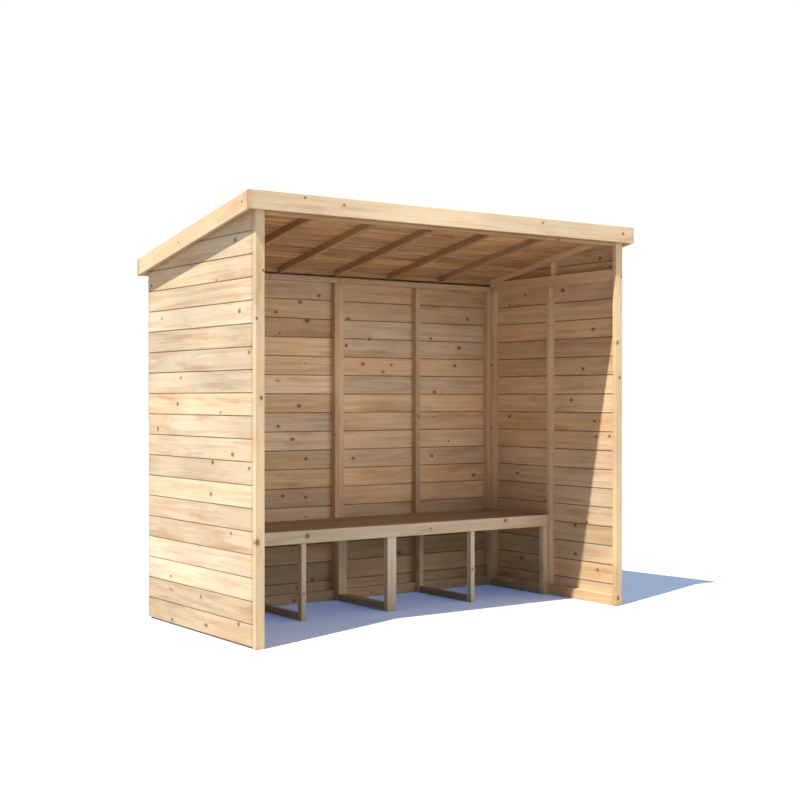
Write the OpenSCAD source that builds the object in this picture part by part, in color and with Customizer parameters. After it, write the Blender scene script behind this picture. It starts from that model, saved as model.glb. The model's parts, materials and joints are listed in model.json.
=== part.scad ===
// Garden arbor: a three-sided timber shelter with a lean-to roof and a bench.
// The front is open and faces -Y. The origin is on the ground, at the centre of the
// box around the whole arbor, with +X along the front and +Z up.

/* [Overall] */
// Width over the boards of the side walls
width = 2400; // [1800:10:3600]
// Depth from the front posts to the boards of the back wall
depth = 1182; // [1000:2:1600]
// Height of the back wall and of the square part of the side walls
wall_h = 1900; // [1700:5:2300]
// Fall of the roof towards the back, in degrees
roof_pitch = 10.35; // [6:0.05:18]

/* [Wall boards] */
// Thickness of the wall boards
board_t = 12; // [9:1:20]
// Height that each wall board covers
board_pitch = 110; // [80:1:180]
// Height of the lowest wall board
bottom_board_h = 115; // [80:1:180]
// Width of the V joint between two boards
groove_w = 6; // [3:0.5:10]
// Depth of the V joint on the face of the boards
groove_d = 3; // [1:0.5:4]

/* [Wall frames] */
// Face width of studs and rails
stud_w = 30; // [20:1:50]
// Depth of studs and rails, from the boards inwards
stud_d = 38; // [28:1:70]
// Height of the bottom rail
bottom_rail_h = 58; // [30:1:100]
// Depth of the front posts, from front to back
post_t = 28; // [20:1:60]
// Distance from the front of the arbor to the short stud in each gable
gable_stud_from_front = 528; // [150:1:700]

/* [Roof] */
// Width of the rafters
rafter_w = 30; // [20:1:60]
// Height of the rafters, measured plumb
rafter_h = 34; // [30:1:50]
// How far the rafters stand to the left of equal bays
rafter_shift = 12; // [0:1:40]
// Depth of the rear roof rail, from front to back
rear_rail_d = 38; // [25:1:60]
// How far the underside of the rear roof rail lies above the underside of the rafters
rear_rail_gap = 8; // [0:1:12]
// Height of the header under the front roof rail, at its back edge
header_h = 50; // [30:1:100]
// Width of the battens outside the side walls
side_batten_w = 38; // [20:1:80]
// Thickness of the batten in front of the posts
front_batten_t = 18; // [12:1:60]
// Thickness of the roof boards, measured plumb
roof_board_t = 10; // [9:1:20]
// Width that each roof board covers, down the slope
roof_board_pitch = 110; // [80:1:180]
// Thickness of the mineral felt, measured plumb
felt_t = 2; // [1:0.5:5]
// Thickness of the fascia boards
fascia_t = 18; // [12:1:30]
// Height of the fascia boards
fascia_h = 90; // [70:1:140]
// How far the fascia boards hang below the underside of the rafters
fascia_drop = 44; // [10:1:60]

/* [Bench] */
// Height of the seat above the ground
seat_h = 484; // [380:1:560]
// Depth of the bench, from the face of its front board to the back wall's studs
bench_depth = 560; // [350:1:700]
// Thickness of the seat boards
seat_t = 18; // [12:1:30]
// Number of seat boards
seat_boards = 5; // [3:1:8]
// Gap between seat boards
seat_gap = 2; // [1:0.5:10]
// Height of the board along the front of the bench
bench_front_h = 68; // [50:1:120]
// Thickness of the board along the front of the bench
bench_front_t = 18; // [12:1:30]
// Width of the bench legs, rails and bearers
leg_w = 30; // [20:1:50]
// Depth of the bench legs, from front to back
leg_d = 38; // [25:1:70]
// Height of the rail that joins each pair of legs at the ground
ground_rail_h = 38; // [25:1:80]
// Height of the bearers under the seat
bearer_h = 38; // [25:1:80]

/* [Hidden] */

rafter_count = 5;
// Thickness of the gable rails at their thin rear ends, at least
least_taper = 4;
front_overhang = front_batten_t + fascia_t;
rear_overhang = fascia_t;
wall_t = board_t + stud_d;
inner_left = wall_t;
inner_right = width - wall_t;
middle = width / 2;
back_frame = depth - wall_t;
back_boards = depth - board_t;
frame_top = wall_h - stud_w;
sill_h = min(stud_w, rafter_h - least_taper);
sill_top = wall_h + sill_h;
fall = tan(roof_pitch);
bench_front = back_frame - bench_depth;
bench_inner = bench_front + bench_front_t;
leg_h = seat_h - seat_t - bearer_h;
// A hair of extra length where one shape cuts another
past = 1;

// Height of a plane parallel to the roof, lift above the underside of the rafters
function roof_z(y, lift) = wall_h + fall * (depth - y) + lift;

// Puts a shape drawn from the left wall's front corner into the arbor's own frame
module place() {
    translate([-width / 2, (front_overhang - depth - rear_overhang) / 2, 0])
        children();
}

// Left-hand shape, or its mirror image on the right-hand side
module on_side(right) {
    if (right)
        translate([width, 0, 0]) mirror([1, 0, 0]) children();
    else
        children();
}

module bar(from, to) {
    translate(from) cube(to - from);
}

// Profile in the Y and Z plane, drawn out along X
module along_x(x0, x1) {
    translate([x0, 0, 0]) rotate([90, 0, 90]) linear_extrude(x1 - x0) children();
}

// Bar that follows the roof slope, with plumb ends
module sloped_bar(x0, x1, y0, y1, low, high) {
    along_x(x0, x1) polygon([
        [y0, roof_z(y0, low)], [y1, roof_z(y1, low)],
        [y1, roof_z(y1, high)], [y0, roof_z(y0, high)]
    ]);
}

// Heights of the joints between wall boards, below a given top
function joint_heights(top) = [
    for (z = bottom_board_h; z < top - groove_w; z = z + board_pitch) z
];

// Section through a wall of tongued boards: V joints outside, finer ones inside
module board_section(top) {
    joints = joint_heights(top);
    last = len(joints) - 1;
    outer = [for (z = joints) each [
        [0, z - groove_w / 2], [groove_d, z], [0, z + groove_w / 2]
    ]];
    inner = [for (i = [last : -1 : 0]) each [
        [board_t, joints[i] + groove_w / 3],
        [board_t - groove_d / 2, joints[i]],
        [board_t, joints[i] - groove_w / 3]
    ]];
    polygon(concat([[0, 0]], outer, [[0, top], [board_t, top]], inner, [[board_t, 0]]));
}

module side_boards(right) {
    ridge = roof_z(post_t, rafter_h);
    color("burlywood") place() on_side(right) intersection() {
        translate([0, depth, 0]) rotate([90, 0, 0])
            linear_extrude(depth - post_t) board_section(ridge + past);
        along_x(-past, board_t + past) polygon([
            [post_t, 0], [depth, 0], [depth, roof_z(depth, rafter_h)], [post_t, ridge]
        ]);
    }
}

module front_post(right) {
    color("wheat") place() on_side(right) along_x(0, wall_t) polygon([
        [0, 0], [post_t, 0],
        [post_t, roof_z(post_t, rafter_h)], [0, roof_z(0, rafter_h)]
    ]);
}

// Middle and rear stud of the square panel, and the short stud of the gable.
// The middle stud takes the end of the bench's front board.
module side_studs(right) {
    mid = bench_front + bench_front_t / 2;
    color("tan") place() on_side(right) {
        for (y = [mid - stud_w / 2, back_frame - stud_w])
            bar([board_t, y, bottom_rail_h], [wall_t, y + stud_w, frame_top]);
        y0 = gable_stud_from_front;
        y1 = y0 + stud_w;
        along_x(board_t, wall_t) polygon([
            [y0, sill_top], [y1, sill_top], [y1, roof_z(y1, 0)], [y0, roof_z(y0, 0)]
        ]);
    }
}

module side_rails(right) {
    color("tan") place() on_side(right) {
        bar([board_t, post_t, 0], [wall_t, back_frame, bottom_rail_h]);
        bar([board_t, post_t, frame_top], [wall_t, back_frame, wall_h]);
    }
}

module gable_sill(right) {
    color("tan") place() on_side(right)
        bar([board_t, post_t, wall_h], [wall_t, depth, sill_top]);
}

// Top rail of the gable, tapered where it lies on the sill
module gable_rail(right) {
    meets_sill = depth - sill_h / fall;
    color("tan") place() on_side(right) along_x(board_t, wall_t) polygon([
        [post_t, roof_z(post_t, 0)], [meets_sill, sill_top], [depth, sill_top],
        [depth, roof_z(depth, rafter_h)], [post_t, roof_z(post_t, rafter_h)]
    ]);
}

module corner_post(right) {
    color("tan") place() on_side(right)
        bar([board_t, back_frame, 0], [wall_t, back_boards, wall_h]);
}

// The back wall is two panels that meet at the middle
module back_boards_panel(right) {
    color("burlywood") place() on_side(right)
        translate([board_t, depth, 0]) mirror([0, 1, 0]) rotate([90, 0, 90])
            linear_extrude(middle - board_t) board_section(wall_h);
}

// Left edges of the studs of the left-hand back panel, and of the bench frames there
function bay_edges(w) = [inner_left, (inner_left + middle - w) / 2, middle - w];

module back_studs(right) {
    color("tan") place() on_side(right)
        for (x = bay_edges(stud_w))
            bar([x, back_frame, bottom_rail_h], [x + stud_w, back_boards, frame_top]);
}

module back_rails(right) {
    color("tan") place() on_side(right) {
        bar([inner_left, back_frame, 0], [middle, back_boards, bottom_rail_h]);
        bar([inner_left, back_frame, frame_top], [middle, back_boards, wall_h]);
    }
}

// Header between the front posts, with its top cut to the roof slope
module front_header() {
    low = roof_z(post_t, 0) - header_h;
    color("wheat") place() along_x(inner_left, inner_right) polygon([
        [0, low], [post_t, low], [post_t, roof_z(post_t, 0)], [0, roof_z(0, 0)]
    ]);
}

module roof_front_rail() {
    color("tan") place() sloped_bar(inner_left, inner_right, 0, post_t, 0, rafter_h);
}

// Shallower than the rafters, so that a dark gap shows over the back wall
module roof_rear_rail() {
    color("tan") place() sloped_bar(inner_left, inner_right,
        depth - rear_rail_d, depth, rear_rail_gap, rafter_h);
}

module rafter(i) {
    pitch = (inner_right - inner_left) / (rafter_count + 1);
    x = inner_left + i * pitch - rafter_w / 2 - rafter_shift;
    color("tan") place()
        sloped_bar(x, x + rafter_w, post_t, depth - rear_rail_d, 0, rafter_h);
}

module front_batten() {
    color("tan") place()
        sloped_bar(-side_batten_w, width + side_batten_w, -front_batten_t, 0, 0, rafter_h);
}

module side_batten(right) {
    color("tan") place() on_side(right)
        sloped_bar(-side_batten_w, 0, 0, depth, 0, rafter_h);
}

// Tongued boards laid across the slope, with V joints on the underside
module roof_boards() {
    step = roof_board_pitch * cos(roof_pitch);
    joints = [
        for (y = step - front_batten_t; y < depth - groove_w; y = y + step) y
    ];
    under = [for (y = joints) each [
        [y - groove_w / 2, roof_z(y - groove_w / 2, rafter_h)],
        [y, roof_z(y, rafter_h + groove_d)],
        [y + groove_w / 2, roof_z(y + groove_w / 2, rafter_h)]
    ]];
    top = rafter_h + roof_board_t;
    color("burlywood") place()
        along_x(-side_batten_w, width + side_batten_w) polygon(concat(
            [[-front_batten_t, roof_z(-front_batten_t, rafter_h)]], under,
            [[depth, roof_z(depth, rafter_h)], [depth, roof_z(depth, top)],
             [-front_batten_t, roof_z(-front_batten_t, top)]]
        ));
}

module roof_felt() {
    low = rafter_h + roof_board_t;
    color("darkslategray") place() sloped_bar(-side_batten_w, width + side_batten_w,
        -front_batten_t, depth, low, low + felt_t);
}

module front_fascia() {
    low = roof_z(-front_overhang, 0) - fascia_drop;
    out = side_batten_w + fascia_t;
    color("wheat") place()
        bar([-out, -front_overhang, low], [width + out, -front_batten_t, low + fascia_h]);
}

// Plumb board that closes the roof over the back wall
module rear_fascia() {
    low = roof_z(depth + rear_overhang, 0) - fascia_drop;
    out = side_batten_w + fascia_t;
    color("wheat") place()
        bar([-out, depth, low], [width + out, depth + rear_overhang, low + fascia_h]);
}

module side_fascia(right) {
    color("wheat") place() on_side(right)
        sloped_bar(-side_batten_w - fascia_t, -side_batten_w,
            -front_batten_t, depth, -fascia_drop, fascia_h - fascia_drop);
}

module bench_seat() {
    room = back_frame - bench_inner;
    board_w = (room - (seat_boards - 1) * seat_gap) / seat_boards;
    color("peru") place()
        for (i = [0 : seat_boards - 1]) {
            y = bench_inner + i * (board_w + seat_gap);
            bar([inner_left, y, seat_h - seat_t], [inner_right, y + board_w, seat_h]);
        }
}

module bench_front_board() {
    color("wheat") place()
        bar([inner_left, bench_front, seat_h - bench_front_h],
            [inner_right, bench_inner, seat_h]);
}

// Front and rear legs of the three bench frames on one half
module bench_legs(right) {
    color("tan") place() on_side(right)
        for (x = bay_edges(leg_w), y = [bench_inner, back_frame - leg_d])
            bar([x, y, 0], [x + leg_w, y + leg_d, leg_h]);
}

// Ground rails between the legs, and the bearers that carry the seat
module bench_rails(right) {
    color("tan") place() on_side(right)
        for (x = bay_edges(leg_w)) {
            bar([x, bench_inner + leg_d, 0], [x + leg_w, back_frame - leg_d, ground_rail_h]);
            bar([x, bench_inner, leg_h], [x + leg_w, back_frame, leg_h + bearer_h]);
        }
}

side_boards(false);  // left_wall_boards
front_post(false);  // left_front_post
side_studs(false);  // left_wall_studs
side_rails(false);  // left_wall_rails
gable_sill(false);  // left_gable_sill
gable_rail(false);  // left_gable_rail
corner_post(false);  // left_corner_post
side_boards(true);  // right_wall_boards
front_post(true);  // right_front_post
side_studs(true);  // right_wall_studs
side_rails(true);  // right_wall_rails
gable_sill(true);  // right_gable_sill
gable_rail(true);  // right_gable_rail
corner_post(true);  // right_corner_post
back_boards_panel(false);  // back_left_boards
back_studs(false);  // back_left_studs
back_rails(false);  // back_left_rails
back_boards_panel(true);  // back_right_boards
back_studs(true);  // back_right_studs
back_rails(true);  // back_right_rails
front_header();
roof_front_rail();
roof_rear_rail();
rafter(1);  // rafter_1
rafter(2);  // rafter_2
rafter(3);  // rafter_3
rafter(4);  // rafter_4
rafter(5);  // rafter_5
front_batten();
side_batten(false);  // left_batten
side_batten(true);  // right_batten
roof_boards();
roof_felt();
front_fascia();
rear_fascia();
side_fascia(false);  // left_fascia
side_fascia(true);  // right_fascia
bench_seat();
bench_front_board();
bench_legs(false);  // bench_left_legs
bench_rails(false);  // bench_left_rails
bench_legs(true);  // bench_right_legs
bench_rails(true);  // bench_right_rails
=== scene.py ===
"""Dresses the frame of a timber garden arbor: boards, rounded timbers, felt, nails and stage."""
import json
import math
import random

import bmesh
import bpy
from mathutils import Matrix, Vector, noise

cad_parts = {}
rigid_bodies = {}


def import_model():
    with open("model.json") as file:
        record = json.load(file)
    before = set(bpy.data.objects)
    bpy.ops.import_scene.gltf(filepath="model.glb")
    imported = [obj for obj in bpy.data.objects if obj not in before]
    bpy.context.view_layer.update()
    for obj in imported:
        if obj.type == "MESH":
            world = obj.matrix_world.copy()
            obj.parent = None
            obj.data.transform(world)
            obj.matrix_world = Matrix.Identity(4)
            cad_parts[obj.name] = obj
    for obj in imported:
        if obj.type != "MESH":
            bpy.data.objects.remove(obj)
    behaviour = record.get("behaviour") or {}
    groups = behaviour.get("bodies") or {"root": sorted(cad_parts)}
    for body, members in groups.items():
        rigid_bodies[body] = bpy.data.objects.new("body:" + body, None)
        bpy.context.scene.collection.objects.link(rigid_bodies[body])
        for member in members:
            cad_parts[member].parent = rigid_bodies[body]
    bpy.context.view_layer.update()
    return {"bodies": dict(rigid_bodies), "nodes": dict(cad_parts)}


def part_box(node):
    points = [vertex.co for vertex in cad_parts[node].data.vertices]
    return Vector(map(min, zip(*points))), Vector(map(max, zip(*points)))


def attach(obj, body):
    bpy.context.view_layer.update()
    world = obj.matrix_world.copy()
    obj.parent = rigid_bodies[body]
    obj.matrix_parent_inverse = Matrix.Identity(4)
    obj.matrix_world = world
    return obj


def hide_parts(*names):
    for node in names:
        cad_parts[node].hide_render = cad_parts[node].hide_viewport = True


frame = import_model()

BODY = next(iter(frame["bodies"]))

bl_info = {
    "name": "Garden arbor",
    "version": (1, 0, 0),
    "blender": (4, 5, 0),
    "location": "View3D > Sidebar > Arbor",
    "description": "Dresses the frame of a garden arbor with boards, timbers, felt and nails",
    "category": "Add Mesh",
}

X, Y, Z = Vector((1, 0, 0)), Vector((0, 1, 0)), Vector((0, 0, 1))

# Point attributes that carry each timber's own grain into the shader: its place in the timber, the
# heart of its rings and a seed, its lightness with the painted light and shade of the walls' inner
# faces, its warmth and cut end, its half length, half width and hue, and the place and radius of up
# to four knots
KNOT_KEYS = ("knot_a", "knot_b", "knot_c", "knot_d")
WOOD_KEYS = ("grain", "heart", "tone", "extent") + KNOT_KEYS
NO_KNOT = (-9.0, -9.0, 0.001)

# Darkest and palest timber of each kind, as shares of the kind's colour
TONES = {
    "side_boards": (0.86, 1.08), "back_boards": (0.78, 1.16), "roof_boards": (0.76, 1.14),
    "side_frames": (1.18, 1.30), "back_studs": (0.96, 1.12), "back_rails": (0.86, 0.98),
    "front_post": (0.93, 0.99), "header": (0.98, 1.04), "roof_frame": (0.84, 1.00),
    # The front fascia is a little paler than the other fascias, a painted light on the face that
    # the sun and the front lamp reach
    "front_fascia": (1.03, 1.09), "other_fascia": (0.98, 1.04), "bench_seat": (0.86, 1.06),
    # The bench rails are painted darker, a painted shade on their sides that face the dark inside
    "bench_front": (0.90, 0.97), "bench_legs": (1.00, 1.10), "bench_rails": (0.60, 0.70),
}

# Painted light and shade on the walls' inner faces, as tones by height in metres. The side walls
# are painted darker under the roof, a painted shade. The back wall is painted darker below the seat
# and under the roof, a painted shade, and paler at mid height, a painted light.
SIDE_WALL_PAINTED_SHADE = ((0.0, 1.0), (1.75, 1.0), (1.90, 0.78), (2.2, 0.74))
BACK_WALL_SHADE_UNDER_SEAT = 0.80
BACK_WALL_PAINTED_LIGHT_AND_SHADE = (
    (0.95, 1.0), (1.18, 1.10), (1.36, 1.10), (1.60, 0.84), (1.71, 0.72), (2.2, 0.70))

# Thickness of a strip of felt, how far the upper strip rises where it laps the lower one, how far
# ahead of the lap it starts to rise, and the cells of its mesh
FELT_THICKNESS = 0.0016
FELT_STEP = 0.0018
FELT_BEND = 0.004
FELT_ROWS, FELT_COLUMNS = 20, 60

# The sun with its width in degrees, the soft lamp in front and the even fill of the sky
SUN_DIRECTION = (1.0, 0.355, -1.84)
SUN_WIDTH = 0.9
SUN_STRENGTH = 5.2
SUN_COLOUR = (1.0, 0.955, 0.87)
PANEL_PLACE = (3.6, -7.4, 3.2)
PANEL_AIM = (-0.45, 1.0, -0.27)
PANEL_SIZE = (6.0, 3.0)
PANEL_POWER = 140.0
PANEL_COLOUR = (0.97, 0.895, 0.835)
SKY_STRENGTH = 0.36
SKY_COLOUR = (0.56, 0.74, 1.0)
WHITE, BLACK = (1.0, 1.0, 1.0), (0.0, 0.0, 0.0)

# The floor lies a little below the arbor's feet, and light bounces off it in a duller colour
FLOOR_BOUNCE = (0.425, 0.41, 0.395)
FLOOR_REACH = 60.0
FLOOR_DROP = 0.0008

# The photograph's camera, with its angles in degrees and its lens in millimetres
CAMERA_PLACE = (-4.3472, -6.1955, 1.1891)
CAMERA_TURN = (90 - 0.072, -0.003, -35.357)
CAMERA_LENS = 61.055
CAMERA_SENSOR = 36.0

# Larger knots by node, where a search of the photograph for dark spots found them: x or y along
# the plank's face and z in metres, and radius in millimetres, which was chosen one by one
KNOTS = {
    "left_wall_boards": [
        (-0.355, 0.916, 9), (-0.426, 1.608, 9), (-0.147, 0.870, 9), (0.480, 1.026, 8),
        (-0.129, 0.710, 8), (-0.416, 0.101, 8), (0.243, 1.158, 8), (0.309, 0.026, 8),
        (-0.520, 0.855, 7), (0.560, 1.797, 7), (-0.078, 0.049, 8), (-0.382, 1.955, 8),
        (-0.520, 1.408, 6), (0.203, 1.296, 6), (0.324, 0.183, 6), (0.324, 0.253, 6),
        (-0.022, 0.186, 6), (-0.232, 1.120, 5), (0.431, 1.613, 6), (-0.339, 0.532, 6),
        (-0.187, 1.775, 5),
    ],
    "right_wall_boards": [
        (-0.391, 0.185, 8), (-0.202, 0.262, 9), (-0.530, 0.623, 8), (0.443, 0.418, 8),
        (-0.166, 1.180, 8), (-0.269, 1.364, 7), (-0.489, 0.970, 7), (0.407, 1.074, 8),
        (-0.497, 1.952, 7), (-0.354, 1.595, 8), (0.257, 1.836, 7), (-0.090, 1.840, 9),
        (0.404, 1.777, 6), (-0.412, 2.006, 9), (-0.366, 1.055, 6), (0.329, 0.719, 7),
        (0.290, 0.189, 7), (-0.201, 0.433, 7), (-0.377, 0.965, 6), (0.060, 0.560, 6),
        (-0.300, 0.455, 6),
    ],
    "back_left_boards": [
        (-0.300, 0.950, 9), (-0.255, 1.144, 8), (-0.208, 0.836, 8), (-0.248, 1.750, 9),
        (-0.367, 0.624, 8), (-0.200, 1.643, 10), (-0.395, 1.028, 7), (-0.410, 1.686, 7),
        (-0.261, 0.085, 8), (-0.164, 0.126, 8), (-0.120, 1.793, 8), (-0.385, 1.565, 5),
    ],
    "back_right_boards": [
        (0.709, 0.830, 8), (0.123, 0.831, 8), (0.072, 1.504, 8), (0.922, 1.507, 9),
        (0.191, 1.395, 8), (0.087, 1.663, 8), (0.729, 1.230, 8), (0.457, 0.243, 7),
        (0.400, 1.394, 6), (0.990, 1.690, 7), (0.700, 1.560, 6), (0.890, 1.395, 7),
        (0.340, 1.350, 6), (0.240, 1.545, 7), (1.040, 0.700, 8),
    ],
    "front_fascia": [
        (0.566, 2.145, 5), (-0.948, 2.152, 5), (-0.725, 2.136, 5), (1.171, 2.127, 6),
        (-0.201, 2.150, 5), (0.210, 2.150, 4), (0.830, 2.082, 5), (-1.120, 2.112, 3),
    ],
    "left_fascia": [(-0.552, 2.116, 5), (0.120, 1.985, 4)],
    "left_front_post": [
        (-1.190, 0.508, 10), (-1.168, 1.192, 7), (-1.158, 1.794, 5), (-1.192, 1.566, 5),
    ],
    "right_front_post": [
        (1.163, 1.507, 8), (1.179, 1.308, 6), (1.168, 0.045, 8), (1.192, 1.887, 5),
    ],
    "bench_front_board": [(-0.564, 0.455, 9), (0.806, 0.466, 8), (0.254, 0.449, 5)],
}


def length_property(label, words, default, least, most):
    return bpy.props.FloatProperty(
        name=label, description=words, default=default, min=least, max=most, unit="LENGTH")


class JoinerySizes(bpy.types.PropertyGroup):
    """Sizes of the joints, edges and fixings that the frame's plain solids leave out"""

    board_cover: length_property(
        "Board cover", "Height that each wall board covers", 0.110, 0.08, 0.18)
    lowest_board: length_property(
        "Lowest board", "Height of the lowest wall board", 0.115, 0.08, 0.18)
    foot_gap: length_property(
        "Foot gap", "Height of the lowest board's edge above the floor", 0.009, 0.0, 0.02)
    joint_width: length_property(
        "Joint width", "Width of the V joint on the outer face of the boards", 0.006, 0.003, 0.010)
    joint_depth: length_property(
        "Joint depth", "Depth of the V joint on the outer face of the boards", 0.003, 0.001, 0.004)
    joint_gap: length_property(
        "Joint gap", "Open gap between two boards in front of the tongue", 0.0030, 0.0004, 0.004)
    tongue: length_property(
        "Tongue", "Reach of the tongue into the next board", 0.0045, 0.002, 0.008)
    edge_round: length_property(
        "Edge rounding", "Radius of the planed edges of the timbers", 0.0018, 0.0005, 0.004)
    nail_head: length_property(
        "Nail head", "Radius of the nail heads in the boards", 0.0019, 0.001, 0.005)
    felt_lap: length_property(
        "Felt lap", "Overlap of the two strips of felt", 0.075, 0.03, 0.2)


def colour_property(label, words, default):
    return bpy.props.FloatVectorProperty(
        name=label, description=words, default=default, size=3, min=0.0, max=1.0, subtype="COLOR")


class TimberColours(bpy.types.PropertyGroup):
    """Colours of the softwood, the knots, the felt and the stage"""

    wall_pale: colour_property(
        "Wall boards", "Early wood of the wall boards", (0.88, 0.74, 0.53))
    wall_deep: colour_property(
        "Wall board grain", "Late wood and streaks of the wall boards", (0.66, 0.42, 0.23))
    # The inner faces are painted darker and warmer than the outer faces, a painted shade with the
    # warmth of light bounced inside the arbor
    inside_shade_tint: colour_property(
        "Inside faces", "Tint of the wall boards' inner faces, which the sun hasn't bleached",
        (1.0, 0.92, 0.84))
    frame_pale: colour_property(
        "Frame timber", "Early wood of the studs, rails and corner posts", (0.74, 0.55, 0.35))
    frame_deep: colour_property(
        "Frame timber grain", "Late wood of the studs, rails and corner posts",
        (0.50, 0.29, 0.14))
    beam_pale: colour_property(
        "Roof timber", "Early wood of the rafters, the roof rails and the header",
        (0.58, 0.39, 0.22))
    beam_deep: colour_property(
        "Roof timber grain", "Late wood of the rafters, the roof rails and the header",
        (0.34, 0.17, 0.08))
    front_pale: colour_property(
        "Front timber", "Early wood of the posts and fascias", (0.93, 0.73, 0.465))
    front_deep: colour_property(
        "Front timber grain", "Late wood of the posts and fascias", (0.74, 0.47, 0.27))
    bench_pale: colour_property(
        "Bench timber", "Early wood of the bench's front board and frames", (0.81, 0.71, 0.54))
    bench_deep: colour_property(
        "Bench timber grain", "Late wood of the bench's front board and frames",
        (0.62, 0.45, 0.30))
    roof_pale: colour_property(
        "Roof boards", "Early wood of the roof boards", (0.70, 0.45, 0.24))
    roof_deep: colour_property(
        "Roof board grain", "Late wood and streaks of the roof boards", (0.34, 0.17, 0.075))
    seat_pale: colour_property(
        "Seat boards", "Early wood of the seat boards", (0.42, 0.31, 0.21))
    seat_deep: colour_property(
        "Seat board grain", "Late wood of the seat boards", (0.27, 0.16, 0.09))
    knot: colour_property("Knots", "Heart of the knots", (0.15, 0.070, 0.030))
    felt: colour_property("Roof felt", "Mineral grit of the roof felt", (0.036, 0.042, 0.040))
    steel: colour_property("Nails", "Dull zinc of the nail heads", (0.42, 0.41, 0.39))
    floor: colour_property("Floor", "Plain pale floor of the stage", (0.95, 0.99, 1.0))
    # A cool glow painted onto the floor for the camera, which lights its shadow with blue as a sky
    # would
    painted_sky_glow: colour_property(
        "Floor shade", "Cool tone that the shadow on the floor takes on", (0.0, 0.050, 0.170))


def sizes():
    return bpy.context.scene.arbor_sizes


def colours():
    return bpy.context.scene.arbor_colours


class Wire:
    """One output of a shader node, with arithmetic that adds Math nodes"""

    def __init__(self, graph, socket):
        self.graph, self.socket = graph, socket

    def __add__(self, other):
        return self.graph.math("ADD", self, other)

    def __radd__(self, other):
        return self.graph.math("ADD", other, self)

    def __sub__(self, other):
        return self.graph.math("SUBTRACT", self, other)

    def __rsub__(self, other):
        return self.graph.math("SUBTRACT", other, self)

    def __mul__(self, other):
        return self.graph.math("MULTIPLY", self, other)

    def __rmul__(self, other):
        return self.graph.math("MULTIPLY", other, self)

    def __truediv__(self, other):
        return self.graph.math("DIVIDE", self, other)

    def __pow__(self, other):
        return self.graph.math("POWER", self, other)


class Graph:
    """A tree of shader nodes, which takes numbers, colours and wires alike"""

    def __init__(self, tree):
        self.tree = tree

    def node(self, kind, settings=None, inputs=None, out=0):
        made = self.tree.nodes.new(kind)
        for key, value in (settings or {}).items():
            setattr(made, key, value)
        for key, value in (inputs or {}).items():
            if isinstance(value, Wire):
                self.tree.links.new(value.socket, made.inputs[key])
            else:
                made.inputs[key].default_value = value
        return None if out is None else Wire(self, made.outputs[out])

    def math(self, operation, *values):
        return self.node("ShaderNodeMath", {"operation": operation}, dict(enumerate(values)))


class Finish(Graph):
    """A material under construction: the node graph that feeds one Principled shader"""

    def __init__(self, name):
        self.material = bpy.data.materials.new(name)
        self.material.use_nodes = True
        super().__init__(self.material.node_tree)
        self.shader = self.tree.nodes["Principled BSDF"]

    def attribute(self, key):
        return self.node("ShaderNodeAttribute", {"attribute_name": key}, out="Vector")

    def parts(self, vector):
        made = self.node("ShaderNodeSeparateXYZ", inputs={0: vector})
        outputs = made.socket.node.outputs
        return [Wire(self, outputs[i]) for i in range(3)]

    def join(self, x, y, z):
        return self.node("ShaderNodeCombineXYZ", inputs={0: x, 1: y, 2: z})

    def vector(self, operation, first, second=None):
        inputs = {0: first} if second is None else {0: first, 1: second}
        out = "Value" if operation == "LENGTH" else "Vector"
        return self.node("ShaderNodeVectorMath", {"operation": operation}, inputs, out)

    def noise(self, vector, scale=1.0, detail=2.0, rough=0.5):
        return self.node(
            "ShaderNodeTexNoise", {},
            {"Vector": vector, "Scale": scale, "Detail": detail, "Roughness": rough})

    def fade(self, value, start, end):
        """Smooth step from 0 at start to 1 at end"""
        return self.node(
            "ShaderNodeMapRange", {"interpolation_type": "SMOOTHSTEP"},
            {0: value, 1: start, 2: end, 3: 0.0, 4: 1.0})

    def blend(self, first, second, factor, how="MIX"):
        def full(value):
            return value if isinstance(value, Wire) else (*value, 1.0)
        return self.node(
            "ShaderNodeMix", {"data_type": "RGBA", "blend_type": how, "clamp_factor": True},
            {0: factor, 6: full(first), 7: full(second)}, out=2)

    def feed(self, **values):
        for key, value in values.items():
            socket = self.shader.inputs[key.replace("_", " ").title()]
            if isinstance(value, Wire):
                self.tree.links.new(value.socket, socket)
            else:
                socket.default_value = value

    def bump(self, height, distance, strength):
        normal = self.node("ShaderNodeBump", {}, {
            "Height": height, "Distance": distance, "Strength": strength})
        self.tree.links.new(normal.socket, self.shader.inputs["Normal"])


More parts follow.
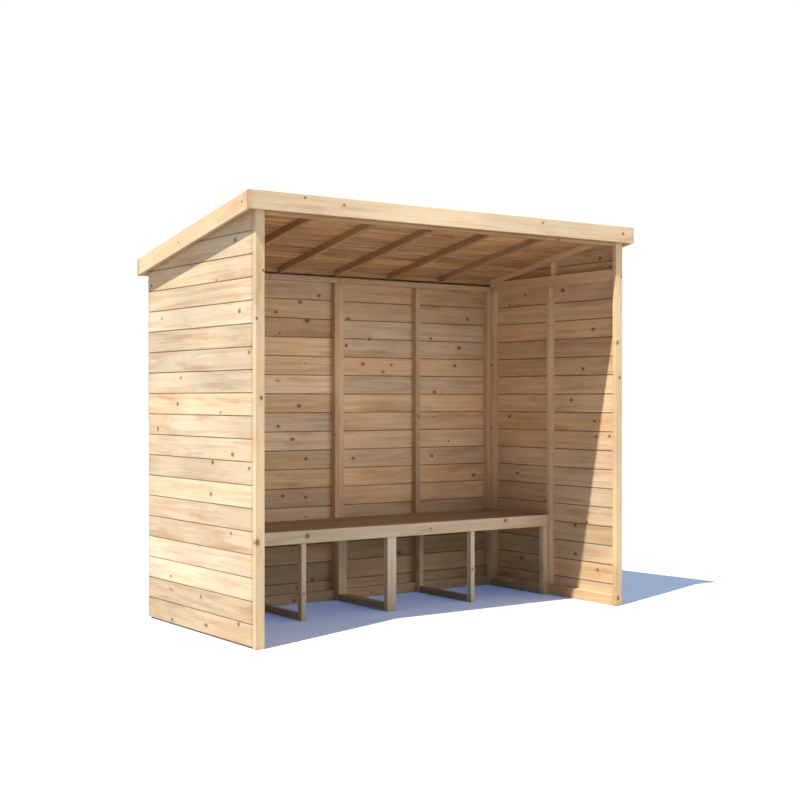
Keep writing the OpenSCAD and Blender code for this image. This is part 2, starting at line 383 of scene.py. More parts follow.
def softwood(name, pale, deep, streak, rings, stain, seam=0.0, two_faced=False):
    """Planed softwood whose rings, fibres and knots follow the attributes of each timber

    streak, rings, stain and seam are the strengths of the broad streaks, the growth rings, the
    brown stain and the dark joints. A two-faced board has a painted shade tint on its inner face.
    """
    f = Finish(name)
    reddish = tuple(c * k for c, k in zip(pale, (0.97, 0.76, 0.66)))
    place = f.attribute("grain")
    along, across, through = f.parts(place)
    heart_across, heart_through, seed = f.parts(f.attribute("heart"))
    light, warm, cut_end = f.parts(f.attribute("tone"))
    half_length, half_width, cast = f.parts(f.attribute("extent"))

    nearest = None
    for key in KNOT_KEYS:
        spot = f.attribute(key)
        radius = f.parts(spot)[2]
        offset = f.vector("MULTIPLY", f.vector("SUBTRACT", place, spot), (0.78, 1.0, 0.0))
        reach = f.vector("LENGTH", offset) / radius
        nearest = reach if nearest is None else f.math("MINIMUM", nearest, reach)
    ragged = f.noise(f.join(along * 110, across * 110, seed * 31), detail=2.0)
    nearest = nearest * (0.70 + 0.60 * ragged)
    swell = f.math("EXPONENT", nearest * nearest * -0.10)

    # Growth rings round a heart that wanders along the timber
    wander = f.noise(f.join(along * 1.3, seed * 47, through * 2), detail=1.0) - 0.5
    wobble = f.noise(f.join(along * 5, across * 22, seed * 19), detail=2.0) - 0.5
    side = across - heart_across + wander * 0.06
    deep_in = through - heart_through
    reach = (side * side + deep_in * deep_in) ** 0.5
    saw = f.math("FRACT", (reach + swell * 0.007 + wobble * 0.004) / 0.0046)
    late = f.fade(saw, 0.25, 0.90) * (1 - f.fade(saw, 0.93, 1.0))

    # Broad soft streaks, patches of heartwood and fine fibres, drawn out along the timber
    broad = f.noise(
        f.join(along * 1.7 + swell * 0.8, across * 34 + seed * 61, through * 34),
        detail=4.0, rough=0.62)
    patch = f.noise(f.join(along * 3.0, across * 9, seed * 83), detail=2.0)
    brown = f.noise(f.join(along * 2.1, across * 13, seed * 29 + 5), detail=3.0, rough=0.6)
    fibre = f.noise(f.join(along * 24, across * 620, through * 620), detail=2.0, rough=0.6)
    streaks = f.fade(broad, 0.42, 0.70)

    colour = f.blend(pale, deep, streaks * streak)
    colour = f.blend(colour, deep, late * rings * (0.45 + 0.55 * patch))
    colour = f.blend(colour, reddish, warm * 0.60 * f.fade(patch, 0.38, 0.66))
    colour = f.blend(
        colour, (0.70, 0.56, 0.48), f.fade(brown, 0.52, 0.70) * stain, "MULTIPLY")
    colour = f.blend(colour, (0.93, 0.90, 0.86), f.fade(fibre, 0.42, 0.75) * 0.35, "MULTIPLY")
    colour = f.blend(colour, (0.62, 0.50, 0.40), cut_end * 0.8, "MULTIPLY")

    # Knots with a soft stain round them
    halo = 1 - f.fade(nearest, 0.9, 2.7)
    core = 1 - f.fade(nearest, 0.74, 1.16)
    rim = f.fade(nearest, 0.55, 0.95) * (1 - f.fade(nearest, 0.98, 1.30))
    inner = f.noise(f.join(along * 500, across * 500, seed * 11), detail=2.0)
    colour = f.blend(colour, (0.46, 0.22, 0.09), halo * 0.34)
    colour = f.blend(colour, f.blend(colours().knot, (0.30, 0.145, 0.065), inner), core * 0.86)
    colour = f.blend(colour, (0.060, 0.028, 0.014), rim * 0.35)

    # Each timber's own tone and hue, which drift along it. On the walls' inner faces the tone also
    # carries painted light and shade.
    drift = f.fade(f.noise(f.join(along * 1.6, seed * 91, 0.0), detail=1.0), 0.30, 0.70)
    shade = light * (0.88 + 0.18 * drift)
    blotch = f.noise(f.join(along * 7, across * 18, seed * 53), detail=2.0) - 0.5
    inside = f.fade(through, -0.002, 0.004) if two_faced else 0.0
    hue = cast * (1.0 + 0.7 * inside) + blotch * 5.0
    colour = f.vector("MULTIPLY", colour, f.join(
        shade * (1.0 + 0.015 * hue), shade * (1.0 - 0.015 * hue), shade * (1.0 - 0.07 * hue)))
    # The inner faces of two-faced boards take the painted shade tint
    if two_faced:
        colour = f.blend(colour, colours().inside_shade_tint, inside, "MULTIPLY")

    # Dirt and shadow that gather at the joints, and the darker board ends
    edge = half_width - f.math("ABSOLUTE", across)
    if seam:
        joint = (1 - f.fade(edge, -0.0010, 0.0030)) * seam * (0.70 + 0.30 * inside)
        colour = f.blend(colour, (0.26, 0.155, 0.085), joint, "MULTIPLY")
    tip = 1 - f.fade(half_length - f.math("ABSOLUTE", along), 0.0, 0.030)
    colour = f.blend(colour, (0.74, 0.64, 0.56), tip * 0.45, "MULTIPLY")

    gloss = 0.60 + 0.14 * fibre - 0.06 * late - 0.12 * core
    height = late * 0.35 + fibre * 0.55 + broad * 0.30 + core * 0.9 - rim * 0.8
    f.feed(base_color=colour, roughness=gloss)
    f.shader.inputs["Specular IOR Level"].default_value = 0.32
    f.bump(height, 0.0005, 0.7)
    return f.material


def roofing_felt():
    """Mineral felt: fine mixed grit over a slightly uneven sheet"""
    f = Finish("mineral_felt")
    spot = f.attribute("grain")
    grit = f.noise(spot, scale=900, detail=2.0)
    grains = f.node("ShaderNodeTexVoronoi", {"feature": "F1"}, {"Vector": spot, "Scale": 620.0})
    pale_grit, dark_grit = f.parts(Wire(f, grains.socket.node.outputs["Color"]))[:2]
    worn = f.noise(spot, scale=2.2, detail=4.0, rough=0.6)
    colour = f.blend(colours().felt, (0.13, 0.14, 0.13), f.fade(pale_grit, 0.55, 1.0))
    colour = f.blend(colour, (0.020, 0.020, 0.020), f.fade(dark_grit, 0.7, 1.0))
    colour = f.blend(colour, (0.085, 0.085, 0.078), f.fade(worn, 0.45, 0.75) * 0.6)
    f.feed(base_color=colour, roughness=0.86 + 0.12 * grit)
    f.bump((1 - grains) * 0.6 + grit * 0.4 + worn * 0.5, 0.0009, 0.8)
    return f.material


def zinc():
    """Dull zinc coating, mottled and a little tarnished"""
    f = Finish("dull_zinc")
    spot = f.attribute("grain")
    mottle = f.noise(spot, scale=900, detail=2.0)
    rust = f.noise(spot, scale=120, detail=3.0)
    colour = f.blend(colours().steel, (0.20, 0.17, 0.14), f.fade(rust, 0.50, 0.75))
    f.feed(base_color=colour, roughness=0.42 + 0.25 * mottle, metallic=0.85)
    f.bump(mottle, 0.0001, 0.5)
    return f.material


class Slope:
    """The underside and top of a sloped node, as heights over y"""

    def __init__(self, node):
        points = [v.co for v in frame["nodes"][node].data.vertices]
        self.front = min(p.y for p in points)
        self.rear = max(p.y for p in points)
        at_front = [p.z for p in points if p.y < self.front + 1e-4]
        at_rear = [p.z for p in points if p.y > self.rear - 1e-4]
        run = self.rear - self.front
        self.fall = (max(at_front) - max(at_rear)) / run
        self.low_front, self.high_front = min(at_front), max(at_front)

    def under(self, y):
        return self.low_front - self.fall * (y - self.front)

    def over(self, y):
        return self.high_front - self.fall * (y - self.front)


def add_object(name, data):
    made = bpy.data.objects.new(name, data)
    bpy.context.scene.collection.objects.link(made)
    return made


class Timbers:
    """The timbers of one piece, gathered in one mesh with their attributes"""

    def __init__(self, piece, node=None):
        self.piece, self.node = piece, node
        self.rng = random.Random(piece)
        self.points, self.faces = [], []
        self.rows = {key: [] for key in WOOD_KEYS}

    def add(self, shape, along, through, tone=(0.93, 1.05), knots_per_metre=0.8,
            knot_size=(2, 6), inner=1.0):
        """Takes over a bmesh as one timber whose grain runs in the direction along

        tone is the range of its tone, and inner is the inner face's share of that tone, which
        paints light and shade on the walls' inner faces.
        """
        rng = self.rng
        across = through.cross(along).normalized()
        spread = [[v.co.dot(axis) for v in shape.verts] for axis in (along, across, through)]
        # A tongue lies between the two faces and doesn't count for the width
        skin = 0.0012
        low_face, high_face = min(spread[2]) + skin, max(spread[2]) - skin
        spread[1] = [v for v, w in zip(spread[1], spread[2]) if not low_face < w < high_face]
        halves = [(max(row) - min(row)) / 2 for row in spread]
        half_length, half_width = halves[:2]
        centre = sum(
            (axis * (max(row) + min(row)) / 2
             for axis, row in zip((along, across, through), spread)), Vector())
        spots = []
        for place, height, radius in KNOTS.get(self.node, ()):
            x, y = (centre.x, place) if abs(through.x) > 0.5 else (place, centre.y)
            spot = Vector((x, y, height)) - centre
            u, v, r = spot.dot(along), spot.dot(across), radius / 1000
            if abs(u) < half_length + r and abs(v) < half_width + r * 0.7:
                spots.append((u, v, r))
        wanted = half_length * 2 * knots_per_metre
        count = int(wanted) + (rng.random() < wanted - int(wanted))
        while len(spots) < count:
            spots.append((
                rng.uniform(-0.95, 0.95) * half_length,
                rng.uniform(-1, 1) * half_width,
                rng.uniform(*knot_size) / 1000 * rng.uniform(0.7, 1.2)))
        spots = (spots + [NO_KNOT] * len(KNOT_KEYS))[:len(KNOT_KEYS)]
        turn = rng.choice((-1, 1))
        heart = (
            rng.uniform(-0.8, 0.8) * half_width,
            turn * rng.uniform(0.025, 0.11),
            rng.random())
        light, warm, cast = rng.uniform(*tone), rng.random(), rng.uniform(-1, 1)
        base = len(self.points)
        shape.verts.index_update()
        for vert in shape.verts:
            spot = vert.co - centre
            u = spot.dot(along)
            is_end = abs(abs(u) - half_length) < 2e-4
            depth = spot.dot(through)
            self.points.append(vert.co[:])
            self.rows["grain"].append((u, spot.dot(across), depth))
            self.rows["heart"].append(heart)
            self.rows["tone"].append(
                (light * (inner if depth > 0 else 1.0), warm, 1.0 if is_end else 0.0))
            self.rows["extent"].append((half_length, half_width, cast))
            for key, knot in zip(KNOT_KEYS, spots):
                self.rows[key].append(knot)
        for face in shape.faces:
            self.faces.append([base + v.index for v in face.verts])
        shape.free()

    def make(self, material, slot, *nodes):
        """Builds the object, which stands for the CAD nodes"""
        mesh = bpy.data.meshes.new(self.piece)
        mesh.from_pydata(self.points, [], self.faces)
        for key, values in self.rows.items():
            layer = mesh.attributes.new(key, "FLOAT_VECTOR", "POINT")
            layer.data.foreach_set("vector", [c for row in values for c in row])
        mesh.materials.append(material)
        mesh.update()
        made = add_object(self.piece, mesh)
        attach(made, BODY)
        if nodes:
            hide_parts(*nodes)


def solids_of(node):
    """The solids of a CAD node, each as its own bmesh with merged, flat faces"""
    whole = bmesh.new()
    whole.from_mesh(frame["nodes"][node].data)
    bmesh.ops.remove_doubles(whole, verts=whole.verts, dist=2e-5)
    bmesh.ops.dissolve_limit(whole, angle_limit=0.01, verts=whole.verts, edges=whole.edges)
    left = set(whole.faces)
    found = []
    while left:
        group, queue = set(), [min(left, key=lambda face: face.index)]
        while queue:
            face = queue.pop()
            if face in group:
                continue
            group.add(face)
            queue.extend(near for edge in face.edges for near in edge.link_faces)
        left -= group
        found.append(group)
    made = []
    for group in found:
        solid = bmesh.new()
        copies = {}
        for face in sorted(group, key=lambda face: face.index):
            for vert in face.verts:
                if vert not in copies:
                    copies[vert] = solid.verts.new(vert.co)
            solid.faces.new([copies[vert] for vert in face.verts])
        solid.normal_update()
        made.append(solid)
    whole.free()
    return made


def dressed_timbers(piece, node, facing=None, **looks):
    """Every bar of a node with planed, rounded edges, and its knots in the face towards facing"""
    timbers = Timbers(piece, node)
    for bar in solids_of(node):
        longest = max(bar.edges, key=lambda edge: edge.calc_length())
        along = (longest.verts[1].co - longest.verts[0].co).normalized()
        if along.dot(X + Y + Z) < 0:
            along.negate()
        sides = [face for face in bar.faces if abs(face.normal.dot(along)) < 0.3]
        if facing is not None:
            best = max(face.normal.dot(facing) for face in sides)
            sides = [face for face in sides if face.normal.dot(facing) > best - 0.1]
        through = max(sides, key=lambda face: face.calc_area()).normal.copy()
        through = (through - along * through.dot(along)).normalized()
        bmesh.ops.bevel(
            bar, geom=bar.edges[:], offset=sizes().edge_round, segments=2, profile=0.5,
            affect="EDGES", clamp_overlap=True)
        timbers.add(bar, along, through, **looks)
    return timbers


def board_profile(low, high, thick, lowest, highest, rng):
    """Section of a tongued board: (across, through) points, with the outer face at 0"""
    s = sizes()
    gap = s.joint_gap * rng.uniform(0.30, 0.62)
    half, depth, reach = s.joint_width / 2, s.joint_depth, s.tongue
    near, far = thick * 0.36, thick * 0.64
    play = 0.0002
    inner = depth * 0.8
    points = []
    if lowest:
        foot = low + s.foot_gap
        points += [(foot + 0.002, 0.0), (foot, 0.002), (foot, thick - 0.001), (foot + 0.001, thick)]
    else:
        points += [
            (low + half, 0.0), (low + gap, depth), (low + gap, near - play),
            (low + gap + reach + 0.001, near - play), (low + gap + reach + 0.001, far + play),
            (low + gap, far + play), (low + gap, thick - inner), (low + half * 0.7, thick)]
    if highest:
        points += [(high, thick), (high, 0.0)]
    else:
        points += [
            (high - half * 0.7, thick), (high - gap, thick - inner), (high - gap, far),
            (high + reach - gap, far - play * 2), (high + reach - gap, near + play * 2),
            (high - gap, near), (high - gap, depth), (high - half, 0.0)]
    return points


def board_shape(profile, start, length, origin, along, across, through, rng, stations=9):
    """A board drawn out from its section, with edges that wander by a fraction of a millimetre"""
    shape = bmesh.new()
    phase = rng.uniform(0, 100)
    ends = 0.0012
    stops = [0.0, ends, *(length * i / stations for i in range(1, stations)), length - ends, length]
    middle = (min(p[0] for p in profile) + max(p[0] for p in profile)) / 2
    rings = []
    for stop in stops:
        ring = []
        for v, w in profile:
            edge = 1 if v > middle else -1
            drift = noise.noise(Vector((stop * 3.1, phase, edge * 7.7))) * 0.0005
            bow = noise.noise(Vector((stop * 1.3, phase, 3.3))) * 0.0002
            near_end = 0.0004 if stop in (0.0, length) and w < 1e-5 else 0.0
            spot = origin + along * (start + stop) + across * (v + drift)
            lift = max(0.0, w + near_end + (bow if 0.002 < w < 0.01 else 0))
            corner = spot + through * lift
            corner.z = max(corner.z, 0.0)
            ring.append(shape.verts.new(corner))
        rings.append(ring)
    count = len(profile)
    for one, two in zip(rings, rings[1:]):
        for i in range(count):
            j = (i + 1) % count
            shape.faces.new([one[i], one[j], two[j], two[i]])
    shape.faces.new(list(reversed(rings[0])))
    shape.faces.new(rings[-1])
    bmesh.ops.recalc_face_normals(shape, faces=shape.faces)
    return shape


def trim(shape, point, normal):
    """Cuts off what lies beyond a plane and closes the cut; False where nothing is left"""
    cut = bmesh.ops.bisect_plane(
        shape, geom=shape.verts[:] + shape.edges[:] + shape.faces[:], dist=1e-6,
        plane_co=point, plane_no=normal, clear_outer=True)
    edges = [item for item in cut["geom_cut"] if isinstance(item, bmesh.types.BMEdge)]
    if edges:
        bmesh.ops.triangle_fill(shape, edges=edges, use_beauty=True)
    return len(shape.faces) > 3


def painted_inner_shade(shade_marks, height):
    """Tone of a wall's inner face at a height, which paints light and shade on it, from marks of
    (height, tone)
    """
    for (low, one), (high, two) in zip(shade_marks, shade_marks[1:]):
        if height <= high:
            return one + (two - one) * (height - low) / (high - low)
    return shade_marks[-1][1]


def clad_wall(piece, node, outward, tone, knots_per_metre, shade_marks, top=None):
    """Tongued boards on a wall, cut to the roof where top gives its slope"""
    s = sizes()
    low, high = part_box(node)
    timbers = Timbers(piece, node)
    rng = timbers.rng
    through = -outward
    along = Y if abs(outward.x) > 0.5 else X
    first, last = low.dot(along), high.dot(along)
    face = (high if outward.dot(X + Y) > 0 else low).dot(outward)
    thick = abs((high - low).dot(outward))
    origin = outward * face
    seams = [low.z]
    while seams[-1] < high.z - s.joint_width:
        seams.append(seams[0] + s.lowest_board + s.board_cover * (len(seams) - 1))
    seams[-1] = high.z
    if seams[-1] - seams[-2] < s.joint_width:
        seams[-2:] = [high.z]
    for i, (bottom, above) in enumerate(zip(seams, seams[1:])):
        profile = board_profile(bottom, above, thick, i == 0, i == len(seams) - 2, rng)
        near, far = rng.uniform(0, 0.0006), rng.uniform(0, 0.0006)
        board = board_shape(
            profile, first + near, last - first - near - far, origin, along, Z, through, rng)
        if top is not None:
            plane = Vector((0, top.front, top.over(top.front)))
            if not trim(board, plane, Vector((0, top.fall, 1))):
                board.free()
                continue
        # Each board's inner face takes the painted light and shade of its height
        timbers.add(
            board, along, through, tone, knots_per_metre,
            inner=painted_inner_shade(shade_marks, (bottom + above) / 2))
    return timbers


def nail_heads(name, spots, radius, rise, material):
    """Shallow domed heads at (place, direction) spots, joined in one piece"""
    corners = 10
    heads = Timbers(name)
    for place, outward in spots:
        side = outward.orthogonal().normalized()
        other = outward.cross(side)
        shape = bmesh.new()
        rings = []
        turn = heads.rng.uniform(0, 1)
        for share, lift in ((1.0, -0.3), (1.0, 0.45), (0.86, 0.85), (0.45, 1.0)):
            ring = []
            for k in range(corners):
                a = (k + turn) * math.tau / corners
                spot = side * math.cos(a) + other * math.sin(a)
                ring.append(shape.verts.new(place + spot * radius * share + outward * rise * lift))
            rings.append(ring)
        for one, two in zip(rings, rings[1:]):
            for k in range(corners):
                after = (k + 1) % corners
                shape.faces.new([one[k], one[after], two[after], two[k]])
        shape.faces.new(rings[-1])
        heads.add(shape, side, outward, knots_per_metre=0)
    # The record has no slot for nails
    heads.make(material, "frame_timber")


class ArborOperator(bpy.types.Operator):
    """Shared ground of the operators that dress the arbor"""

    bl_options = {"REGISTER", "UNDO"}


def wood(kind):
    """The softwood finish of a kind of timber, made once"""
    if kind in bpy.data.materials:
        return bpy.data.materials[kind]
    c = colours()
    # Early wood, late wood, strengths of streaks, rings, stain and joints, and whether the inner
    # face takes the painted shade tint
    recipes = {
        "wall_softwood": (c.wall_pale, c.wall_deep, 0.62, 0.34, 0.50, 0.75, True),
        "frame_softwood": (c.frame_pale, c.frame_deep, 0.45, 0.38, 0.40),
        "front_softwood": (c.front_pale, c.front_deep, 0.50, 0.34, 0.50),
        "fascia_softwood": (c.front_pale, c.front_deep, 0.50, 0.34, 0.50, 0.60),
        "bench_softwood": (c.bench_pale, c.bench_deep, 0.50, 0.34, 0.50),
        "beam_softwood": (c.beam_pale, c.beam_deep, 0.55, 0.38, 0.45),
        "roof_softwood": (c.roof_pale, c.roof_deep, 0.95, 0.35, 0.60, 0.75),
        "seat_softwood": (c.seat_pale, c.seat_deep, 0.60, 0.40, 0.50, 0.50),
    }
    return softwood(kind, *recipes[kind])


class ARBOR_OT_wall_boards(ArborOperator):
    """Clads the two side walls and the two back panels with tongued boards"""

    bl_idname = "arbor.wall_boards"
    bl_label = "Wall boards"

    def execute(self, context):
        material = wood("wall_softwood")
        for side, outward in (("left", -X), ("right", X)):
            node = f"{side}_wall_boards"
            top = Slope(node)
            boards = clad_wall(
                f"{side}_wall_cladding", node, outward, TONES["side_boards"],
                knots_per_metre=0.7, shade_marks=SIDE_WALL_PAINTED_SHADE, top=top)
            boards.make(material, "wall_boards", node)
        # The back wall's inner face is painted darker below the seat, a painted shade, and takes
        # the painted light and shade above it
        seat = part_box("bench_seat")[1].z
        shade_marks = ((0.0, BACK_WALL_SHADE_UNDER_SEAT), (seat, BACK_WALL_SHADE_UNDER_SEAT), (seat + 0.01, 1.0),
                 *BACK_WALL_PAINTED_LIGHT_AND_SHADE)
        for side in ("left", "right"):
            node = f"back_{side}_boards"
            boards = clad_wall(
                f"back_{side}_cladding", node, Y, TONES["back_boards"],
                knots_per_metre=1.2, shade_marks=shade_marks)
            boards.make(material, "wall_boards", node)
        return {"FINISHED"}


class ARBOR_OT_wall_frames(ArborOperator):
    """Rounds the studs, rails, sills and corner posts of the walls"""

    bl_idname = "arbor.wall_frames"
    bl_label = "Wall frames"

    def execute(self, context):
        material = wood("frame_softwood")
        side_parts = ("wall_studs", "wall_rails", "gable_sill", "gable_rail", "corner_post")
        nodes = [(f"{side}_{part}", inward, "side_frames")
                 for side, inward in (("left", X), ("right", -X)) for part in side_parts]
        nodes += [(f"back_{side}_{part}", -Y, f"back_{part}")
                  for side in ("left", "right") for part in ("studs", "rails")]
        for node, facing, kind in nodes:
            dressed_timbers(
                f"{node}_timber", node, facing, tone=TONES[kind], knots_per_metre=0.9).make(
                    material, "frame_timber", node)
        return {"FINISHED"}


class ARBOR_OT_front_timbers(ArborOperator):
    """Rounds the two front posts and the header between them"""

    bl_idname = "arbor.front_timbers"
    bl_label = "Front posts and header"

    def execute(self, context):
        for node, kind, finish in (
                ("left_front_post", "front_post", "front_softwood"),
                ("right_front_post", "front_post", "front_softwood"),
                ("front_header", "header", "beam_softwood")):
            dressed_timbers(
                f"{node}_timber", node, -Y, tone=TONES[kind], knots_per_metre=1.2).make(
                    wood(finish), "front_timber", node)
        return {"FINISHED"}


class ARBOR_OT_roof_frame(ArborOperator):
    """Rounds the rafters, the roof rails and the battens"""

    bl_idname = "arbor.roof_frame"
    bl_label = "Roof frame"

    def execute(self, context):
        material = wood("beam_softwood")
        nodes = [f"rafter_{i}" for i in range(1, 6)]
        nodes += ["roof_front_rail", "roof_rear_rail"]
        nodes += [f"{side}_batten" for side in ("front", "left", "right")]
        for node in nodes:
            dressed_timbers(
                f"{node}_timber", node, -Y, tone=TONES["roof_frame"], knots_per_metre=1.2).make(
                    material, "frame_timber", node)
        return {"FINISHED"}


class ARBOR_OT_roof_boards(ArborOperator):
    """Lays tongued boards across the rafters, with their V joints facing down"""

    bl_idname = "arbor.roof_boards"
    bl_label = "Roof boards"

    def execute(self, context):
        s = sizes()
        low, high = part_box("roof_boards")
        slope = Slope("roof_boards")
        timbers = Timbers("roof_sheathing", "roof_boards")
        rng = timbers.rng
        down = Vector((0, 1, -slope.fall)).normalized()
        up = X.cross(down)
        thick = (slope.high_front - slope.low_front) * up.z
        run = (slope.rear - slope.front) / down.y
        origin = Vector((0, slope.front, slope.low_front))
        seams = [0.0]
        while seams[-1] + s.board_cover < run - s.joint_width:
            seams.append(seams[-1] + s.board_cover)
        seams.append(run)
        for i, (start, end) in enumerate(zip(seams, seams[1:])):
            profile = board_profile(start, end, thick, False, False, rng)
            if i == 0:
                profile = [(max(v, 0.0), w) for v, w in profile]
            if i == len(seams) - 2:
                profile = [(min(v, run), w) for v, w in profile]
            board = board_shape(
                profile, low.x, high.x - low.x, origin, X, down, up, rng, stations=16)
            trim(board, Vector((0, slope.front, 0)), -Y)
            trim(board, Vector((0, slope.rear, 0)), Y)
            timbers.add(board, X, up, TONES["roof_boards"], knots_per_metre=1.1, knot_size=(3, 8))
        timbers.make(wood("roof_softwood"), "roof_boards", "roof_boards")
        return {"FINISHED"}


def felt_strip(slope, front, rear, raised_from, wave):
    """A thin rippled strip from front to rear, which lies a step higher behind raised_from"""
    low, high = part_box("roof_felt")
    shape = bmesh.new()

    def corner(i, k, is_top):
        x = low.x + (high.x - low.x) * k / FELT_COLUMNS
        y = front + (rear - front) * i / FELT_ROWS
        z = slope.under(y) + (FELT_STEP if y > raised_from else 0.0)
        if is_top:
            ripple = noise.noise(Vector((x * 5, y * 9, wave))) * 0.0003
            inside = 0 < i < FELT_ROWS and 0 < k < FELT_COLUMNS
            z += FELT_THICKNESS + (ripple if inside else -0.0002)
        return shape.verts.new((x, y, z))

    top, under = [
        [[corner(i, k, is_top) for k in range(FELT_COLUMNS + 1)] for i in range(FELT_ROWS + 1)]
        for is_top in (True, False)]
    for i in range(FELT_ROWS):
        for k in range(FELT_COLUMNS):
            shape.faces.new([top[i][k], top[i][k + 1], top[i + 1][k + 1], top[i + 1][k]])
            shape.faces.new([under[i][k], under[i + 1][k], under[i + 1][k + 1], under[i][k + 1]])
    rim = [(0, k) for k in range(FELT_COLUMNS)]
    rim += [(i, FELT_COLUMNS) for i in range(FELT_ROWS)]
    rim += [(FELT_ROWS, k) for k in range(FELT_COLUMNS, 0, -1)]
    rim += [(i, 0) for i in range(FELT_ROWS, 0, -1)]
    for (i, k), (m, n) in zip(rim, rim[1:] + rim[:1]):
        shape.faces.new([top[i][k], under[i][k], under[m][n], top[m][n]])
    bmesh.ops.recalc_face_normals(shape, faces=shape.faces)
    return shape


class ARBOR_OT_roof_felt(ArborOperator):
    """Lays two lapped strips of mineral felt on the roof boards"""

    bl_idname = "arbor.roof_felt"
    bl_label = "Roof felt"

    def execute(self, context):
        slope = Slope("roof_felt")
        middle, lap = (slope.front + slope.rear) / 2, sizes().felt_lap / 2
        upper = felt_strip(slope, slope.front, middle + lap, middle - lap - FELT_BEND, 2.0)
        lower = felt_strip(slope, middle - lap, slope.rear, math.inf, 5.0)
        sheet = Timbers("mineral_roof_felt", "roof_felt")
        for strip in (upper, lower):
            sheet.add(strip, X, Z, knots_per_metre=0)
        sheet.make(roofing_felt(), "roof_felt", "roof_felt")
        return {"FINISHED"}


class ARBOR_OT_fascias(ArborOperator):
    """Rounds the fascia boards round the roof"""

    bl_idname = "arbor.fascias"
    bl_label = "Fascias"

    def execute(self, context):
        for side in ("front", "rear", "left", "right"):
            node = f"{side}_fascia"
            finish, kind = "fascia_softwood", "other_fascia"
            if side == "front":
                finish, kind = "front_softwood", "front_fascia"
            dressed_timbers(f"{node}_board", node, tone=TONES[kind], knots_per_metre=0.9).make(
                wood(finish), "front_timber", node)
        return {"FINISHED"}


class ARBOR_OT_bench(ArborOperator):
    """Rounds the seat boards, the front board and the frames of the bench"""

    bl_idname = "arbor.bench"
    bl_label = "Bench"

    def execute(self, context):
        seat, front = "bench_seat", "bench_front_board"
        dressed_timbers("bench_seat_boards", seat, tone=TONES["bench_seat"]).make(
            wood("seat_softwood"), "seat_boards", seat)
        dressed_timbers("bench_front_timber", front, tone=TONES["bench_front"]).make(
            wood("bench_softwood"), "front_timber", front)
        for side in ("left", "right"):
            for part in ("legs", "rails"):
                node, tone = f"bench_{side}_{part}", TONES[f"bench_{part}"]
                dressed_timbers(f"{node}_timber", node, -Y, tone=tone, knots_per_metre=1.0).make(
                    wood("bench_softwood"), "frame_timber", node)
        return {"FINISHED"}


def stud_places(node, axis):
    """Middle of each stud of a node along an axis: 0 for x, 1 for y"""
    studs = solids_of(node)
    places = [sum(v.co[axis] for v in stud.verts) / len(stud.verts) for stud in studs]
    for stud in studs:
        stud.free()
    return places


def nails_in_boards(rng, places, top_at):
    """Two nails in each board at every place along it, up to 12 mm below the top"""
    s = sizes()
    highest = Slope("left_wall_boards").high_front
    bottom, height = 0.0, s.lowest_board
    found = []
    while bottom < highest:
        for place in places:
            for share in (0.24, 0.76):
                z = bottom + height * share + rng.uniform(-0.003, 0.003)
                if z < top_at(place) - 0.012:
                    found.append((place + rng.uniform(-0.003, 0.003), z))
        bottom += height
        height = s.board_cover
    return found


def clouts_in_felt(rng):
    """Nails along the felt's long edges and its lap, then along its two short edges"""
    felt = Slope("roof_felt")
    low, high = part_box("roof_felt")
    tilt = Vector((0, felt.fall, 1)).normalized()
    middle, lap = (felt.front + felt.rear) / 2, sizes().felt_lap / 2
    long_edge, short_edge = 0.016, 0.018
    bays_long, bays_short = 24, 12

    def spot(x, y, shift=0.0):
        lift = FELT_STEP if abs(y - middle) < lap else 0.0
        return Vector((x + shift, y, felt.under(y) + FELT_THICKNESS + lift)), tilt

    found = []
    for k in range(bays_long + 1):
        x = low.x + short_edge + (high.x - low.x - 2 * short_edge) * k / bays_long
        for y in (felt.front + long_edge, felt.rear - long_edge, middle + 0.020):
            found.append(spot(x, y, rng.uniform(-0.006, 0.006)))
    for k in range(1, bays_short):
        y = felt.front + (felt.rear - felt.front) * k / bays_short
        found += [spot(x, y) for x in (low.x + short_edge, high.x - short_edge)]
    return found


class ARBOR_OT_fixings(ArborOperator):
    """Sets the nail heads in the wall boards, and the clout nails in the felt"""

    bl_idname = "arbor.fixings"
    bl_label = "Nails"

    def execute(self, context):
        rng = random.Random("nails")
        slope = Slope("left_wall_boards")
        from_front, from_rear = 0.014, 0.030
        spots = []
        for side, outward in (("left", -X), ("right", X)):
            low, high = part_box(f"{side}_wall_boards")
            face = low.x if side == "left" else high.x
            places = stud_places(f"{side}_wall_studs", 1)[:2]
            places += [low.y + from_front, high.y - from_rear]
            spots += [(Vector((face, y, z)), outward)
                      for y, z in nails_in_boards(rng, places, slope.over)]
        for side in ("left", "right"):
            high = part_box(f"back_{side}_boards")[1]
            places = stud_places(f"back_{side}_studs", 0)
            spots += [(Vector((x, high.y, z)), Y)
                      for x, z in nails_in_boards(rng, places, lambda x: high.z)]
        material = zinc()
        nail_heads(
            "board_nails", spots, radius=sizes().nail_head, rise=0.0003, material=material)
        nail_heads(
            "felt_nails", clouts_in_felt(rng), radius=0.0050, rise=0.0007, material=material)
        return {"FINISHED"}


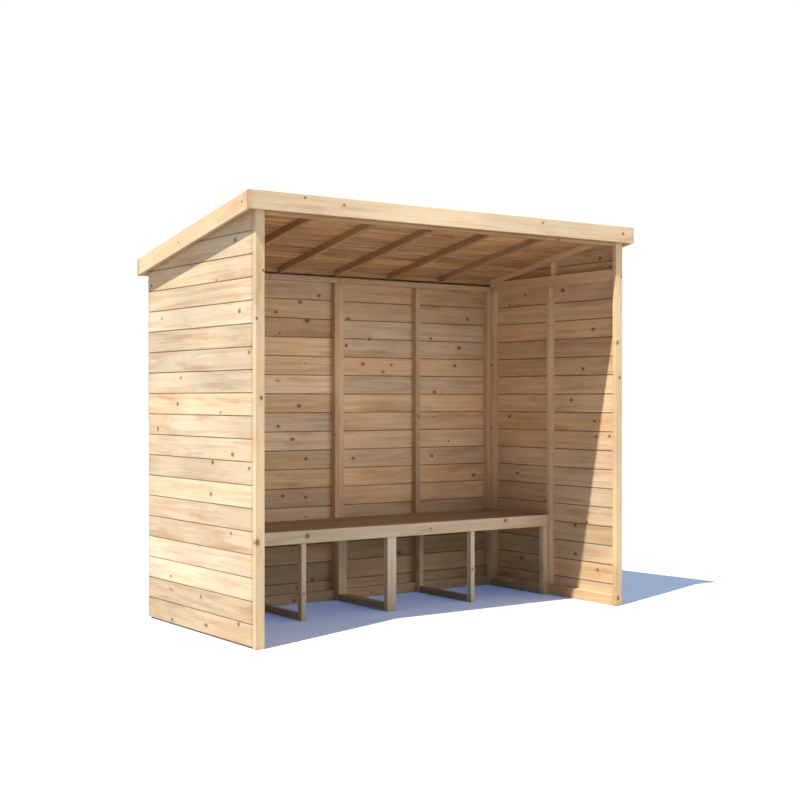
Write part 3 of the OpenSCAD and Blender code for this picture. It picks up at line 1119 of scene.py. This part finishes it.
class ARBOR_OT_stage(ArborOperator):
    """Sets the pale floor, the soft light and the camera at the photograph's viewing angle"""

    bl_idname = "arbor.stage"
    bl_label = "Stage"

    def execute(self, context):
        scene = context.scene
        scene.view_settings.view_transform = "Standard"
        self.lay_floor()
        self.hang_lamps()

        view = bpy.data.cameras.new("camera")
        view.lens, view.sensor_width, view.clip_end = CAMERA_LENS, CAMERA_SENSOR, 200.0
        camera = add_object("camera", view)
        camera.location = CAMERA_PLACE
        camera.rotation_euler = [math.radians(angle) for angle in CAMERA_TURN]
        scene.camera = camera
        return {"FINISHED"}

    def lay_floor(self):
        """A pale floor that the camera sees as near white, with a painted cool glow that shows as
        blue light in its shadow
        """
        floor = bpy.data.meshes.new("floor")
        corners = [(x * FLOOR_REACH, y * FLOOR_REACH, -FLOOR_DROP)
                   for x, y in ((-1, -1), (1, -1), (1, 1), (-1, 1))]
        floor.from_pydata(corners, [], [(0, 1, 2, 3)])
        paint = Finish("pale_floor")
        place = paint.node("ShaderNodeNewGeometry", out="Position")
        cloud = paint.noise(place, scale=1.5)
        seen = paint.node("ShaderNodeLightPath", out="Is Camera Ray")
        pale = paint.blend(colours().floor, WHITE, cloud)
        # The camera sees the floor with a painted cool glow, which tints its shadow
        paint.feed(
            base_color=paint.blend(FLOOR_BOUNCE, pale, seen), roughness=0.9,
            emission_color=paint.blend(BLACK, colours().painted_sky_glow, seen), emission_strength=1.0)
        floor.materials.append(paint.material)
        add_object("floor", floor)

    def hang_lamps(self):
        """The sun, a soft lamp in front and an even sky, which the camera sees as white"""
        sun = bpy.data.lights.new("sun", "SUN")
        sun.energy, sun.angle, sun.color = SUN_STRENGTH, math.radians(SUN_WIDTH), SUN_COLOUR
        panel = bpy.data.lights.new("front_panel", "AREA")
        panel.shape = "RECTANGLE"
        panel.size, panel.size_y = PANEL_SIZE
        panel.energy, panel.color = PANEL_POWER, PANEL_COLOUR
        for lamp, aim in ((sun, SUN_DIRECTION), (panel, PANEL_AIM)):
            hung = add_object(lamp.name, lamp)
            hung.rotation_mode = "QUATERNION"
            hung.rotation_quaternion = Vector(aim).to_track_quat("-Z", "Y")
            if lamp is panel:
                hung.location, hung.visible_camera = PANEL_PLACE, False

        world = bpy.data.worlds.new("studio")
        world.use_nodes = True
        bpy.context.scene.world = world
        world.node_tree.nodes.clear()
        sky = Graph(world.node_tree)
        fill, white = [
            sky.node("ShaderNodeBackground", {}, {"Color": (*colour, 1.0), "Strength": strength})
            for colour, strength in ((SKY_COLOUR, SKY_STRENGTH), (WHITE, 1.0))]
        camera, glossy, through = [
            sky.node("ShaderNodeLightPath", out=f"Is {kind} Ray")
            for kind in ("Camera", "Glossy", "Transmission")]
        shown = sky.math("MAXIMUM", sky.math("MAXIMUM", camera, glossy), through)
        mixed = sky.node("ShaderNodeMixShader", {}, {0: shown, 1: fill, 2: white})
        sky.node("ShaderNodeOutputWorld", {}, {0: mixed}, out=None)


OPERATORS = (
    ARBOR_OT_wall_boards, ARBOR_OT_wall_frames, ARBOR_OT_front_timbers, ARBOR_OT_roof_frame,
    ARBOR_OT_roof_boards, ARBOR_OT_roof_felt, ARBOR_OT_fascias, ARBOR_OT_bench,
    ARBOR_OT_fixings, ARBOR_OT_stage)


class ARBOR_PT_sidebar(bpy.types.Panel):
    """Lists the arbor's sizes, colours and pieces"""

    bl_label = "Garden arbor"
    bl_idname = "ARBOR_PT_sidebar"
    bl_space_type = "VIEW_3D"
    bl_region_type = "UI"
    bl_category = "Arbor"

    def draw(self, context):
        layout = self.layout
        for group in (context.scene.arbor_sizes, context.scene.arbor_colours):
            box = layout.box()
            for key in group.__annotations__:
                box.prop(group, key)
        for operator in OPERATORS:
            layout.operator(operator.bl_idname)


CLASSES = (JoinerySizes, TimberColours, *OPERATORS, ARBOR_PT_sidebar)


def register():
    for item in CLASSES:
        bpy.utils.register_class(item)
    bpy.types.Scene.arbor_sizes = bpy.props.PointerProperty(type=JoinerySizes)
    bpy.types.Scene.arbor_colours = bpy.props.PointerProperty(type=TimberColours)


def unregister():
    del bpy.types.Scene.arbor_colours
    del bpy.types.Scene.arbor_sizes
    for item in reversed(CLASSES):
        bpy.utils.unregister_class(item)


def main():
    register()
    for operator in OPERATORS:
        group, name = operator.bl_idname.split(".")
        getattr(getattr(bpy.ops, group), name)()
    bpy.context.view_layer.update()


if __name__ == "__main__":
    main()
